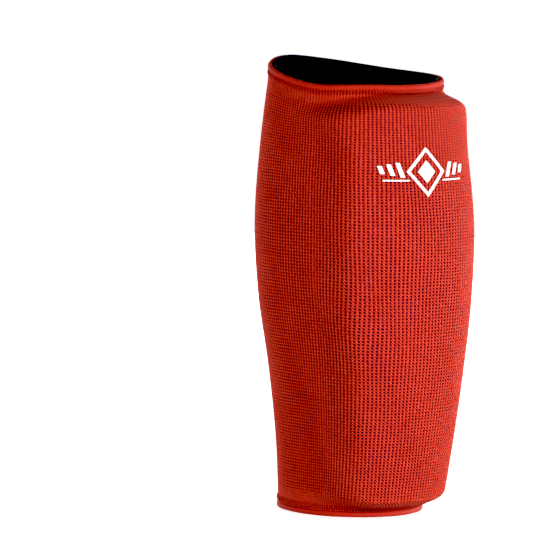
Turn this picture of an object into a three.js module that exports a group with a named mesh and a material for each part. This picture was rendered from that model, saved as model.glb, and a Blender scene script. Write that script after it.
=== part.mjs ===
// Slip-on forearm guard: an elasticated knit sleeve with a foam pad in a sewn pocket over the forearm.
// Millimetres. +Z runs along the forearm from the wrist rim (z = 0) to the elbow rim, -Y is the padded
// front. The guard is symmetric about X = 0 apart from the waves of its elbow rim and the pad's upper
// corner on the -X side, which is rounder than the other.
import * as THREE from 'three';

// ---------- driving dimensions ----------
const HEIGHT = 250;
const GAP = 0.4;
const SLEEVE_THICKNESS = 1.6;
const LINING_THICKNESS = 1.4;
const RIM_DROP = 10;
const RIM_DROP_START = 170;

// The elbow rim's edge also falls and rises a little round the sleeve, at these angles in degrees.
const RIM_WAVES = [
  { at: -67, fall: 3.4, width: 26 },
  { at: -148, fall: -2.5, width: 32 },
  { at: 118, fall: 2.2, width: 38 },
];
const RIM_WAVES_START = 205;

// The oval of the stuffed sleeve at seven heights: half width in X, half depth in Y, centre in Y.
const STATIONS = [
  { z: 0, halfWidth: 41.3, halfDepth: 38, centreY: 2.3 },
  { z: 40, halfWidth: 45.5, halfDepth: 41.6, centreY: 0.9 },
  { z: 80, halfWidth: 50.5, halfDepth: 46, centreY: 2.1 },
  { z: 120, halfWidth: 56.5, halfDepth: 49.8, centreY: 5.1 },
  { z: 160, halfWidth: 58.8, halfDepth: 51, centreY: 7.5 },
  { z: 205, halfWidth: 56, halfDepth: 47.5, centreY: 9.9 },
  { z: HEIGHT, halfWidth: 51.5, halfDepth: 43, centreY: 10.7 },
];

// How far the pad lifts the cover, inside an outline with rounded corners. The lift eases in across the
// outline, slowly along the sides, and it is round over the upper end.
const PAD_RISE = 14.6;
const PAD_LOW = 4;
const PAD_HIGH = 242;
const PAD_HALF_ANGLE = 60;
const PAD_CORNER = 10;
const ROUNDER_CORNER = 16;
const EASE_OUTSIDE = 2;
const EASE_INSIDE = 7;
const SIDE_EASE = 3.4;
const ROUND_START = 205;
const ROUND_FULL = 228;

// The foam itself is narrower than the outline, stops just short of its ends and keeps a real edge.
const FOAM_HALF_ANGLE = 51;
const FOAM_COLUMNS = 18;
const FOAM_SHORT = 0.3;
const FOAM_EDGE = 1;
const SHOULDER_SLACK = 2.4;

// The cloth runs straight across the hollows beside the pad, over at most this many degrees.
const BRIDGE_REACH = 40;
const BRIDGE_STEP = 4;

// Rolled hems, the elastic inside them and the stitching under them.
const HEM_HEIGHT = 3.6;
const HEM_PROUD = 0.9;
const HEM_DEPTH = 2.6;
const HEM_WALL = 0.55;
const HEM_SLOT = 0.6;
const HEM_FOOT = 0.4;
const ELASTIC_DIAMETER = 0.9;
const STITCH_DIAMETER = 0.6;
const STITCH_CLEARANCE = 1;

// Pocket seams beside the pad, thread tails and the printed emblem.
const SEAM_ANGLE_LOW = 58;
const SEAM_ANGLE_HIGH = 63;
const SEAM_LOW = 12;
const SEAM_HIGH = 226;
const TAIL_DIAMETER = 0.7;
const TAIL_LENGTH = 9;
const TAIL_STEPS = 6;
const TAIL_DRIFT = 4;
const TAIL_STAND_OFF = 2.4;
const TAIL_CURL = 1.2;
const TOP_TAIL = { degrees: 184, z: HEIGHT - 4.5 };
const BOTTOM_TAIL = { degrees: 152, z: 4.5 };
const EMBLEM_HALF_WIDTH = 33;
const EMBLEM_HALF_HEIGHT = 14;
const EMBLEM_HEIGHT = 196;
const EMBLEM_THICKNESS = 0.35;
const EMBLEM_COLUMNS = 16;
const EMBLEM_ROWS = 4;
const EMBLEM_BLUNTNESS = 1.08;

// Angles round the sleeve are measured from the front (-Y) towards +X. Columns are closer together
// where the cover runs down the sides of the pad.
const HALF_TURN_DEGREES = [
  0, 9, 18, 27, 34, 40, 45, 50, 55, 60, 65, 70, 76, 84, 94, 105, 117, 130, 143, 156, 168,
];
const SLEEVE_ROWS = [
  4.2, 5.2, 6.5, 8, 10, 13, 17, 22, 32, 48, 64, 80, 96, 112, 128, 144, 160, 176, 192, 206, 218, 226, 231,
  235, 238, 240.5, 243, 244.4, 245.8,
];
const LINING_ROWS = [0.6, 16, 32, 48, 64, 80, 96, 112, 128, 144, 160, 176, 192, 206, 218, 231, 242, 249.6];

const { degToRad, lerp, clamp, smoothstep } = THREE.MathUtils;

const columnAngles = [
  ...HALF_TURN_DEGREES,
  180,
  ...HALF_TURN_DEGREES.slice(1).reverse().map((degrees) => 360 - degrees),
].map(degToRad);

// ---------- the shape of the arm and of the pad ----------

// Smooth values between the stations, with slopes from the neighbouring stations.
function stationValue(key, z) {
  const last = STATIONS.length - 1;
  let index = 0;
  while (index < last - 1 && z > STATIONS[index + 1].z) {
    index += 1;
  }
  const slopeAt = (n) => {
    const before = STATIONS[Math.max(n - 1, 0)];
    const after = STATIONS[Math.min(n + 1, last)];
    return (after[key] - before[key]) / (after.z - before.z);
  };
  const start = STATIONS[index];
  const end = STATIONS[index + 1];
  const span = end.z - start.z;
  const t = clamp((z - start.z) / span, 0, 1);
  const rise = t * t * (3 - 2 * t);
  const leave = t * (1 - t) * (1 - t) * span * slopeAt(index);
  const arrive = t * t * (t - 1) * span * slopeAt(index + 1);
  return lerp(start[key], end[key], rise) + leave + arrive;
}

function ovalRadius(angle, z) {
  const across = Math.sin(angle) / stationValue('halfWidth', z);
  const along = Math.cos(angle) / stationValue('halfDepth', z);
  return 1 / Math.hypot(across, along);
}

// Mean radius under the pad, which turns an angle into a length along the arc.
function arcRadius(z) {
  return (stationValue('halfWidth', z) + stationValue('halfDepth', z)) / 2 + PAD_RISE / 2;
}

function padHalfWidth(z, halfAngle = PAD_HALF_ANGLE) {
  return degToRad(halfAngle) * arcRadius(z);
}

function turned(angle) {
  return Math.atan2(Math.sin(angle), Math.cos(angle));
}

function cornerRadius(angle, z) {
  return turned(angle) < 0 && z > (PAD_LOW + PAD_HIGH) / 2 ? ROUNDER_CORNER : PAD_CORNER;
}

// How far past the pad's nearer end a height is, negative between the ends.
function pastEnd(z) {
  return Math.max(PAD_LOW - z, z - PAD_HIGH);
}

// Distance inside the pad's outline, negative outside it.
function insidePad(angle, z) {
  const corner = cornerRadius(angle, z);
  const sideways = (Math.abs(turned(angle)) * arcRadius(z) - padHalfWidth(z)) / SIDE_EASE + corner;
  const upwards = pastEnd(z) + corner;
  const beyond = Math.hypot(Math.max(sideways, 0), Math.max(upwards, 0));
  return corner - beyond - Math.min(Math.max(sideways, upwards), 0);
}

function padRise(angle, z, slack = 0) {
  const start = slack - EASE_OUTSIDE;
  const share = clamp((insidePad(angle, z) - start) / (EASE_OUTSIDE + EASE_INSIDE), 0, 1);
  const even = smoothstep(share, 0, 1);
  const round = Math.sqrt(1 - (1 - share * share * (2 - share)) ** 2);
  return PAD_RISE * lerp(even, round, smoothstep(z, ROUND_START, ROUND_FULL));
}

// The elbow rim drops towards the front, and its edge waves a little.
function rimDrop(angle, z) {
  const share = clamp((z - RIM_DROP_START) / (HEIGHT - RIM_DROP_START), 0, 1);
  const tilt = RIM_DROP * Math.pow(share, 1.5) * (0.5 + 0.5 * Math.cos(angle));
  let waves = 0;
  for (const { at, fall, width } of RIM_WAVES) {
    const aside = turned(angle - degToRad(at)) / degToRad(width);
    waves += fall * Math.exp(-aside * aside);
  }
  return tilt + waves * Math.pow(smoothstep(z, RIM_WAVES_START, HEIGHT), 1.5);
}

function place(angle, z, radius) {
  return new THREE.Vector3(
    radius * Math.sin(angle),
    stationValue('centreY', z) - radius * Math.cos(angle),
    z - rimDrop(angle, z),
  );
}

function armPoint(angle, z, outward) {
  return place(angle, z, ovalRadius(angle, z) + outward);
}

// How far out a straight run of cloth between two points of the section is, at an angle between them.
function runRadius(angle, before, after, radiusBefore, radiusAfter) {
  const across = radiusBefore * Math.sin(angle - before) + radiusAfter * Math.sin(after - angle);
  return (radiusBefore * radiusAfter * Math.sin(after - before)) / across;
}

// The stretched cover: the section of arm and pad, with straight runs over its hollows.
function coverRadius(angle, z) {
  const filledRadius = (turn) => ovalRadius(turn, z) + padRise(turn, z);
  const reach = [];
  for (let degrees = BRIDGE_STEP; degrees <= BRIDGE_REACH; degrees += BRIDGE_STEP) {
    reach.push(degToRad(degrees));
  }
  const ahead = reach.map((step) => [angle + step, filledRadius(angle + step)]);
  let farthest = filledRadius(angle);
  for (const step of reach) {
    const before = angle - step;
    const radiusBefore = filledRadius(before);
    for (const [after, radiusAfter] of ahead) {
      farthest = Math.max(farthest, runRadius(angle, before, after, radiusBefore, radiusAfter));
    }
  }
  return farthest;
}

function coverPoint(angle, z, outward) {
  return place(angle, z, coverRadius(angle, z) + outward);
}

// ---------- closed bodies ----------

function bodyFrom(points, triangles) {
  const geometry = new THREE.BufferGeometry();
  geometry.setAttribute('position', new THREE.Float32BufferAttribute(points.flatMap((p) => p.toArray()), 3));
  geometry.setIndex(triangles.flat());
  geometry.computeVertexNormals();
  return geometry;
}

// A tube whose sections are closed outlines, counter-clockwise when seen from ahead of the tube's
// start. It either closes on itself or ends in two flat caps.
function tubeBody(sections, closed) {
  const sides = sections[0].length;
  const points = sections.flat();
  const triangles = [];
  const spans = closed ? sections.length : sections.length - 1;
  for (let k = 0; k < spans; k += 1) {
    const here = k * sides;
    const next = ((k + 1) % sections.length) * sides;
    for (let i = 0; i < sides; i += 1) {
      const j = (i + 1) % sides;
      triangles.push([here + i, here + j, next + j], [here + i, next + j, next + i]);
    }
  }
  if (!closed) {
    const end = (sections.length - 1) * sides;
    for (let i = 1; i < sides - 1; i += 1) {
      triangles.push([0, i + 1, i], [end, end + i, end + i + 1]);
    }
  }
  return bodyFrom(points, triangles);
}

// A sleeve between two surfaces: its section at each angle is the outline of the wall.
function sleeveBody(rows, outerPoint, innerPoint) {
  const sections = columnAngles.map((angle) => [
    ...rows.map((z) => innerPoint(angle, z)),
    ...[...rows].reverse().map((z) => outerPoint(angle, z)),
  ]);
  return tubeBody(sections, true);
}

// A ring that follows a rim: the outline gives [outward, upward] pairs about the point at each angle.
function ringBody(outline, z) {
  const sections = columnAngles.map((angle) =>
    outline.map(([outward, upward]) => {
      const point = armPoint(angle, z, outward);
      point.z += upward;
      return point;
    }),
  );
  return tubeBody(sections, true);
}

function circleOutline(radius, sides, outward) {
  return Array.from({ length: sides }, (_, i) => {
    const turn = (-2 * Math.PI * i) / sides;
    return [outward + radius * Math.cos(turn), radius * Math.sin(turn)];
  });
}

// A patch with a front and a back face and walls all round, from a grid of [front, back] pairs.
function patchBody(grid) {
  const rowCount = grid.length;
  const columnCount = grid[0].length;
  const points = grid.flat(2);
  const front = (row, column) => 2 * (row * columnCount + column);
  const back = (row, column) => front(row, column) + 1;
  const triangles = [];
  const quad = (a, b, c, d) => triangles.push([a, b, c], [a, c, d]);
  for (let r = 0; r < rowCount - 1; r += 1) {
    for (let c = 0; c < columnCount - 1; c += 1) {
      quad(front(r, c), front(r, c + 1), front(r + 1, c + 1), front(r + 1, c));
      quad(back(r, c), back(r + 1, c), back(r + 1, c + 1), back(r, c + 1));
    }
    const last = columnCount - 1;
    quad(front(r, 0), front(r + 1, 0), back(r + 1, 0), back(r, 0));
    quad(front(r, last), back(r, last), back(r + 1, last), front(r + 1, last));
  }
  for (let c = 0; c < columnCount - 1; c += 1) {
    const last = rowCount - 1;
    quad(front(0, c), back(0, c), back(0, c + 1), front(0, c + 1));
    quad(front(last, c), front(last, c + 1), back(last, c + 1), back(last, c));
  }
  return bodyFrom(points, triangles);
}

// A thread is a thin tube through a row of points that lie on the sleeve.
function threadBody(path, diameter, sides) {
  const curve = new THREE.CatmullRomCurve3(path);
  const steps = path.length - 1;
  const { normals, binormals } = curve.computeFrenetFrames(steps, false);
  const sections = Array.from({ length: steps + 1 }, (_, k) => {
    const centre = curve.getPointAt(k / steps);
    return Array.from({ length: sides }, (__, i) => {
      const turn = (2 * Math.PI * i) / sides;
      return centre
        .clone()
        .addScaledVector(normals[k], (diameter / 2) * Math.cos(turn))
        .addScaledVector(binormals[k], (diameter / 2) * Math.sin(turn));
    });
  });
  return tubeBody(sections, false);
}

// ---------- materials ----------

function material(color, roughness) {
  return new THREE.MeshStandardMaterial({ color, roughness, metalness: 0 });
}

const redKnit = material(0xd2301c, 0.85);
const redHem = material(0xc02818, 0.8);
const blackKnit = material(0x0c0c10, 0.9);
const redThread = material(0xb8200f, 0.7);
const navyThread = material(0x1a1c3c, 0.7);
const darkFoam = material(0x14151f, 0.95);
const whiteElastic = material(0xd8d6d0, 0.6);
const whitePrint = material(0xf1f0ee, 0.55);

const guard = new THREE.Group();

function add(name, geometry, surface) {
  const mesh = new THREE.Mesh(geometry, surface);
  mesh.name = name;
  guard.add(mesh);
}

// ---------- the sleeve, its lining and the pad ----------

add(
  'outer_sleeve',
  sleeveBody(
    SLEEVE_ROWS,
    (angle, z) => coverPoint(angle, z, 0),
    (angle, z) => coverPoint(angle, z, -SLEEVE_THICKNESS),
  ),
  redKnit,
);

const liningOuter = -SLEEVE_THICKNESS - GAP;

add(
  'inner_lining',
  sleeveBody(
    LINING_ROWS,
    (angle, z) => armPoint(angle, z, liningOuter),
    (angle, z) => armPoint(angle, z, liningOuter - LINING_THICKNESS),
  ),
  blackKnit,
);

// Half width of the foam at a height on one side, drawn in where the corner is round.
function foamHalfWidth(side, z) {
  const corner = cornerRadius(side, z);
  const intoCorner = Math.max(pastEnd(z) + corner, 0);
  const drawnIn = corner - Math.sqrt(corner ** 2 - intoCorner ** 2);
  return Math.min(padHalfWidth(z, FOAM_HALF_ANGLE), padHalfWidth(z) - SIDE_EASE * drawnIn);
}

const foamBack = liningOuter + GAP;
const foamRows = [
  PAD_LOW + FOAM_SHORT,
  ...SLEEVE_ROWS.filter((z) => pastEnd(z) < -2 * FOAM_SHORT),
  PAD_HIGH - FOAM_SHORT,
];
const foamGrid = foamRows.map((z) =>
  Array.from({ length: FOAM_COLUMNS + 1 }, (_, column) => {
    const across = (2 * column) / FOAM_COLUMNS - 1;
    const angle = (across * foamHalfWidth(across, z)) / arcRadius(z);
    const front = padRise(angle, z, SHOULDER_SLACK) - SLEEVE_THICKNESS - GAP;
    return [armPoint(angle, z, Math.max(front, foamBack + FOAM_EDGE)), armPoint(angle, z, foamBack)];
  }),
);
add('impact_pad', patchBody(foamGrid), darkFoam);

// ---------- hems ----------

// A rolled hem is an oval of cloth, open along a slot on the side where the sleeve enters it. The
// slot faces down on the elbow hem and up on the wrist hem, and the wrist hem has a flat foot.
function hemOutline(slotSide, footed) {
  const sides = 10;
  const middle = HEM_PROUD - HEM_DEPTH / 2;
  const arc = (halfDepth, halfHeight) => {
    const slotTurn = Math.asin(HEM_SLOT / 2 / halfDepth);
    return Array.from({ length: sides }, (_, i) => {
      const turn = lerp(slotTurn, 2 * Math.PI - slotTurn, i / (sides - 1));
      const upward = slotSide * halfHeight * Math.cos(turn);
      const lowest = footed ? HEM_FOOT - halfHeight : -halfHeight;
      return [middle + slotSide * halfDepth * Math.sin(turn), Math.max(upward, lowest)];
    });
  };
  const outer = arc(HEM_DEPTH / 2, HEM_HEIGHT / 2);
  const inner = arc(HEM_DEPTH / 2 - HEM_WALL, HEM_HEIGHT / 2 - HEM_WALL);
  return [...outer, ...inner.reverse()];
}

const hemMiddle = HEM_PROUD - HEM_DEPTH / 2;
const topHemHeight = HEIGHT - HEM_HEIGHT / 2;
const bottomHemHeight = HEM_HEIGHT / 2 - HEM_FOOT;
add('top_hem', ringBody(hemOutline(-1, false), topHemHeight), redHem);
add('bottom_hem', ringBody(hemOutline(1, true), bottomHemHeight), redHem);

const elasticOutline = circleOutline(ELASTIC_DIAMETER / 2, 5, hemMiddle);
add('top_elastic', ringBody(elasticOutline, topHemHeight), whiteElastic);
add('bottom_elastic', ringBody(elasticOutline, bottomHemHeight), whiteElastic);

// The stitching lies in the groove between each hem and the sleeve, just proud of the sleeve.
function stitchRing(z) {
  const outline = circleOutline(STITCH_DIAMETER / 2, 4, 2 * GAP + STITCH_DIAMETER / 2);
  const sections = columnAngles.map((angle) =>
    outline.map(([outward, upward]) => {
      const point = coverPoint(angle, z, outward);
      point.z += upward;
      return point;
    }),
  );
  return tubeBody(sections, true);
}

add('top_hem_stitch', stitchRing(HEIGHT - HEM_HEIGHT - STITCH_CLEARANCE), redThread);
add('bottom_hem_stitch', stitchRing(HEM_HEIGHT + STITCH_CLEARANCE), redThread);

// ---------- pocket seams ----------

function seamPath(side) {
  const rows = SLEEVE_ROWS.filter((z) => z >= SEAM_LOW && z <= SEAM_HIGH);
  return rows.map((z) => {
    const degrees = lerp(SEAM_ANGLE_LOW, SEAM_ANGLE_HIGH, (z - SEAM_LOW) / (SEAM_HIGH - SEAM_LOW));
    return coverPoint(side * degToRad(degrees), z, 2 * GAP + STITCH_DIAMETER / 2);
  });
}

add('left_pocket_seam', threadBody(seamPath(-1), STITCH_DIAMETER, 5), redThread);
add('right_pocket_seam', threadBody(seamPath(1), STITCH_DIAMETER, 5), redThread);

// ---------- thread tails ----------

// A short end of navy thread that hangs from a hem against the sleeve.
function tailPath({ degrees, z }, downward) {
  return Array.from({ length: TAIL_STEPS + 1 }, (_, i) => {
    const share = i / TAIL_STEPS;
    const angle = degToRad(degrees + TAIL_DRIFT * Math.sin(2 * share));
    const outward = TAIL_STAND_OFF + TAIL_CURL * Math.sin(3 * share);
    return coverPoint(angle, z + downward * share * TAIL_LENGTH, outward);
  });
}

add('top_thread_tail', threadBody(tailPath(TOP_TAIL, -1), TAIL_DIAMETER, 5), navyThread);
add('bottom_thread_tail', threadBody(tailPath(BOTTOM_TAIL, 1), TAIL_DIAMETER, 5), navyThread);

// ---------- printed emblem ----------

// A plain diamond that lies on the cover, centred on the pad, with slightly blunt tips.
function emblemGrid() {
  return Array.from({ length: EMBLEM_ROWS + 1 }, (_, row) =>
    Array.from({ length: EMBLEM_COLUMNS + 1 }, (__, column) => {
      const across = (2 * column) / EMBLEM_COLUMNS - 1;
      const upright = (2 * row) / EMBLEM_ROWS - 1;
      const z = EMBLEM_HEIGHT + upright * EMBLEM_HALF_HEIGHT * (EMBLEM_BLUNTNESS - Math.abs(across));
      const angle = (across * EMBLEM_HALF_WIDTH) / (arcRadius(z) + PAD_RISE / 2);
      return [coverPoint(angle, z, GAP + EMBLEM_THICKNESS), coverPoint(angle, z, GAP)];
    }),
  );
}

add('front_emblem', patchBody(emblemGrid()), whitePrint);

export default guard;
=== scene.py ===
"""The looks of a slip-on forearm guard: a red openwork knit sleeve over a foam pad and a black lining.

Lengths are millimetres in the driving values below and metres in Blender. The shape is the CAD's own:
+Z runs along the forearm from the wrist rim, -Y is the padded front. Angles start at the front and turn
towards +X.
"""

import math

import bpy
import numpy as np
from mathutils import Matrix, Vector


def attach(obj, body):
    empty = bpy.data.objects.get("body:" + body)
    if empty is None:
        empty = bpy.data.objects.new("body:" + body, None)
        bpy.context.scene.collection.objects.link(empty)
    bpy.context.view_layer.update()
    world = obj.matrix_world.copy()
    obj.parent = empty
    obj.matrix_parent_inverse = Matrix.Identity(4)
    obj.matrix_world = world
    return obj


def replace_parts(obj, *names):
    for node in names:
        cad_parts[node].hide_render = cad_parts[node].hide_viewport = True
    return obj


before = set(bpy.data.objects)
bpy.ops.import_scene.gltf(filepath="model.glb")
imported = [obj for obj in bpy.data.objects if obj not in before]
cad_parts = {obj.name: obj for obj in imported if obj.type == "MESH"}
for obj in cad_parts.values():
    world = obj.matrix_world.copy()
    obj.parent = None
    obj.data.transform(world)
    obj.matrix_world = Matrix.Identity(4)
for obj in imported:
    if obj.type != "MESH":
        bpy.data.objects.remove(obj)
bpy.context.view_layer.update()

MM = 0.001
TURN = 2 * math.pi

# ---------- driving dimensions, as in the CAD ----------
HEIGHT = 250.0
RIM_DROP = 10.0
RIM_DROP_START = 170.0

# The oval of the stuffed sleeve: height, half width in X, half depth in Y, centre in Y.
STATIONS = np.array([
    (0, 41.3, 38, 2.3),
    (40, 45.5, 41.6, 0.9),
    (80, 50.5, 46, 2.1),
    (120, 56.5, 49.8, 5.1),
    (160, 58.8, 51, 7.5),
    (205, 56, 47.5, 9.9),
    (HEIGHT, 51.5, 43, 10.7),
])
HALF_WIDTH, HALF_DEPTH, CENTRE_Y = 1, 2, 3

# How far the pad lifts the cover, inside an outline with rounded corners. The lift eases in across the
# outline, slowly along the sides, and it is round over the upper end.
PAD_RISE = 14.6
PAD_LOW = 4.0
PAD_HIGH = 242.0
PAD_HALF_ANGLE = 60.0
PAD_CORNER = 10.0
ROUNDER_CORNER = 16.0
EASE_OUTSIDE = 2.0
EASE_INSIDE = 7.0
SIDE_EASE = 3.4
ROUND_START = 205.0
ROUND_FULL = 228.0

# The cloth runs straight across the hollows beside the pad, over at most this many degrees.
BRIDGE_REACH = 40
BRIDGE_STEP = 4

HEM_HEIGHT = 3.6
HEM_PROUD = 0.9
HEM_DEPTH = 2.6
HEM_FOOT = 0.4
HEM_MIDDLE = HEM_PROUD - HEM_DEPTH / 2
TOP_HEM_HEIGHT = HEIGHT - HEM_HEIGHT / 2
BOTTOM_HEM_HEIGHT = HEM_HEIGHT / 2 - HEM_FOOT

SEAM_DEGREES_LOW = 58.0
SEAM_DEGREES_HIGH = 63.0
SEAM_LOW = 12.0
SEAM_HIGH = 226.0
EMBLEM_HEIGHT = 196.0

# The groove that the stitching pulls into the cloth, which the CAD leaves out.
SEAM_GROOVE = 0.55
SEAM_GROOVE_WIDTH = 2.2
SEAM_FADE = 4.0

# The elbow rim rises and falls a little, where the cloth stands unsupported: degrees, fall, width.
RIM_WAVES = ((-67, 3.4, 26), (-148, -2.5, 32), (118, 2.2, 38))
RIM_WAVES_START = 205.0

# ---------- the knit ----------
WALES = 152
COURSES = 142
KNIT_LOW = 3.3
KNIT_HIGH = 246.9
COURSE_BUNCHING = 0.04
FRONT_WALES = 28
# Wales crowd together beside the pad and spread out on the back: wale number and degrees.
WALE_PLACES = np.array([(0, 0), (20, 45), (49, 100), (WALES / 2, 180)])
WALE_BLEND = 6

# A gap's half width is a share of the pitch of the wales. Where it comes under NARROWEST_GAP, in
# millimetres, there is a dimple instead of a hole. Limits and the dimple's size are halves, as shares of
# a cell, and gaps lean one way in even courses and slightly the other way in odd ones.
GAP_SHARE = 0.196
HEM_GAP_SHARE = 0.15
NARROWEST_GAP = 0.15
GAP_WIDTHS = (0.12, 0.34)
GAP_HEIGHTS = (0.17, 0.27)
DIMPLE_WIDTH = 0.2
DIMPLE_HEIGHT = 0.24
GAP_LEANS = (0.1, -0.04)
GAP_OUTLINE = np.array([
    (-1, 0), (-0.8, -0.74), (0, -1), (0.8, -0.74), (1, 0), (0.8, 0.74), (0, 1), (-0.8, 0.74),
])

# What the hems and the pocket seams take from a gap's half width, in millimetres, and how far it
# reaches: from and to a distance from the rim, in wales beyond the front, and in wales beside a seam.
TIGHT_TOP = 0.1
TIGHT_TOP_FRONT = 0.32
TIGHT_TOP_REACH = (10.0, 15.0)
TIGHT_BOTTOM = 0.4
TIGHT_BOTTOM_REACH = (9.0, 15.0)
TIGHT_FRONT_REACH = (FRONT_WALES + 2, FRONT_WALES + 18)
TIGHT_SEAM = 0.22
TIGHT_SEAM_REACH = 0.7

# How far the bars and the rims of the gaps lie below the ribs. A stretched bar is pulled up a little.
BAR_HALF_WIDTH = 0.45
BAR_SUNK = 0.48
BAR_TAUT = 0.1
STRETCH_START = 1.5
STRETCH_SPAN = 0.8
RIM_SUNK = 0.4
RIM_END_SUNK = 0.2
RIB_PROUD = 0.05
HEM_SWELL = 0.45
HEM_SWELL_COURSES = 2.2

# Painted shade: how far the yarn's colour is darkened where it dives below the ribs, from 0 on the ribs to
# 1.
BAR_SHADE = 0.64
GAP_SHADE = 0.85
DIMPLE_SHADE = 0.6

# Random unevenness of the stitches, as standard deviations in millimetres or in shares of a cell.
YARN_SCATTER = 0.03
BAR_SCATTER = 0.02
GAP_SCATTER = 0.045
GAP_SHIFT = 0.025
GAP_HEIGHT_SCATTER = 0.06
LEAN_SCATTER = 0.05

rng = np.random.default_rng(7)


# ---------- the shape of the arm and of the pad ----------

def station_value(column, z):
    """Smooth values between the stations, with slopes from the neighbouring stations."""
    heights, values = STATIONS[:, 0], STATIONS[:, column]
    before = np.maximum(np.arange(len(heights)) - 1, 0)
    after = np.minimum(np.arange(len(heights)) + 1, len(heights) - 1)
    slopes = (values[after] - values[before]) / (heights[after] - heights[before])
    k = np.clip(np.searchsorted(heights, z) - 1, 0, len(heights) - 2)
    span = heights[k + 1] - heights[k]
    t = np.clip((z - heights[k]) / span, 0, 1)
    rise = t * t * (3 - 2 * t)
    leave = t * (1 - t) ** 2 * span * slopes[k]
    arrive = t * t * (t - 1) * span * slopes[k + 1]
    return values[k] + (values[k + 1] - values[k]) * rise + leave + arrive


def smoothstep(x, start, end):
    """A smooth step from 0 at the start to 1 at the end."""
    t = np.clip((x - start) / (end - start), 0, 1)
    return t * t * (3 - 2 * t)


def turned(angle):
    """The same angle between minus and plus half a turn."""
    return np.arctan2(np.sin(angle), np.cos(angle))


def arc_radius(z):
    """Mean radius under the pad, which turns an angle into a length along the arc."""
    return (station_value(HALF_WIDTH, z) + station_value(HALF_DEPTH, z)) / 2 + PAD_RISE / 2


def pad_half_width(z, half_angle=PAD_HALF_ANGLE):
    """Half the width of the pad's outline, or of a narrower strip, along the arc."""
    return math.radians(half_angle) * arc_radius(z)


def corner_radius(angle, z):
    """The pad's upper corner on the -X side is rounder than its other corners."""
    rounder = (turned(angle) < 0) & (z > (PAD_LOW + PAD_HIGH) / 2)
    return np.where(rounder, ROUNDER_CORNER, PAD_CORNER)


def past_end(z):
    """How far past the pad's nearer end a height is, negative between the ends."""
    return np.maximum(PAD_LOW - z, z - PAD_HIGH)


def inside_pad(angle, z):
    """Distance inside the pad's outline, negative outside it."""
    corner = corner_radius(angle, z)
    sideways = (np.abs(turned(angle)) * arc_radius(z) - pad_half_width(z)) / SIDE_EASE + corner
    upwards = past_end(z) + corner
    beyond = np.hypot(np.maximum(sideways, 0), np.maximum(upwards, 0))
    return corner - beyond - np.minimum(np.maximum(sideways, upwards), 0)


def pad_rise(angle, z, slack=0.0):
    """How far the pad lifts the cover. The lift eases in evenly, and is round over the upper end."""
    start = slack - EASE_OUTSIDE
    share = np.clip((inside_pad(angle, z) - start) / (EASE_OUTSIDE + EASE_INSIDE), 0, 1)
    even = smoothstep(share, 0, 1)
    rounded = np.sqrt(1 - (1 - share * share * (2 - share)) ** 2)
    return PAD_RISE * (even + (rounded - even) * smoothstep(z, ROUND_START, ROUND_FULL))


def rim_drop(angle, z):
    """The elbow rim drops towards the front, and its edge waves a little."""
    share = np.clip((z - RIM_DROP_START) / (HEIGHT - RIM_DROP_START), 0, 1)
    tilt = RIM_DROP * share ** 1.5 * (0.5 + 0.5 * np.cos(angle))
    waves = 0
    for degrees, fall, width in RIM_WAVES:
        aside = np.degrees(turned(angle - math.radians(degrees))) / width
        waves = waves + fall * np.exp(-aside ** 2)
    return tilt + waves * smoothstep(z, RIM_WAVES_START, HEIGHT) ** 1.5


def place(angle, z, radius):
    """The point at a radius from the middle of the oval, with its height lowered by the rim's drop."""
    x = radius * np.sin(angle)
    y = station_value(CENTRE_Y, z) - radius * np.cos(angle)
    return np.stack(np.broadcast_arrays(x, y, z - rim_drop(angle, z)), axis=-1)


def oval_radius(angle, z):
    """Radius of the arm's oval, without the pad."""
    across = np.sin(angle) / station_value(HALF_WIDTH, z)
    along = np.cos(angle) / station_value(HALF_DEPTH, z)
    return 1 / np.hypot(across, along)


def arm_point(angle, z, outward):
    """A point outward of the arm's oval."""
    return place(angle, z, oval_radius(angle, z) + outward)


def seam_angle(z):
    """The angle of a pocket seam from the front."""
    share = np.clip((z - SEAM_LOW) / (SEAM_HIGH - SEAM_LOW), 0, 1)
    return np.radians(SEAM_DEGREES_LOW + (SEAM_DEGREES_HIGH - SEAM_DEGREES_LOW) * share)


def seam_groove(angle, z):
    """The stitching pulls the cloth in along each pocket seam."""
    beside = (np.abs(turned(angle)) - seam_angle(z)) * arc_radius(z) / SEAM_GROOVE_WIDTH
    starts = smoothstep(z, SEAM_LOW - SEAM_FADE, SEAM_LOW + SEAM_FADE)
    stops = smoothstep(z, SEAM_HIGH - SEAM_FADE, SEAM_HIGH + SEAM_FADE)
    return SEAM_GROOVE * starts * (1 - stops) * np.exp(-beside ** 2)


def run_radius(angle, before, after, radius_before, radius_after):
    """How far out a straight run of cloth between two points of the section is, at an angle between."""
    across = radius_before * np.sin(angle - before) + radius_after * np.sin(after - angle)
    return radius_before * radius_after * np.sin(after - before) / across


def cover_radius(angle, z):
    """The stretched cover: the section of arm and pad, with straight runs over its hollows."""
    reach = np.radians(np.arange(BRIDGE_STEP, BRIDGE_REACH + 1, BRIDGE_STEP))

    def filled(turn):
        return oval_radius(turn, z) + pad_rise(turn, z)

    ahead = [(angle + step, filled(angle + step)) for step in reach]
    farthest = filled(angle)
    for step in reach:
        before = angle - step
        radius_before = filled(before)
        for after, radius_after in ahead:
            farthest = np.maximum(farthest, run_radius(angle, before, after, radius_before, radius_after))
    return farthest


def cover_point(angle, z, outward):
    """A point outward of the stretched cover."""
    return place(angle, z, cover_radius(angle, z) - seam_groove(angle, z) + outward)


# ---------- meshes ----------

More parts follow.
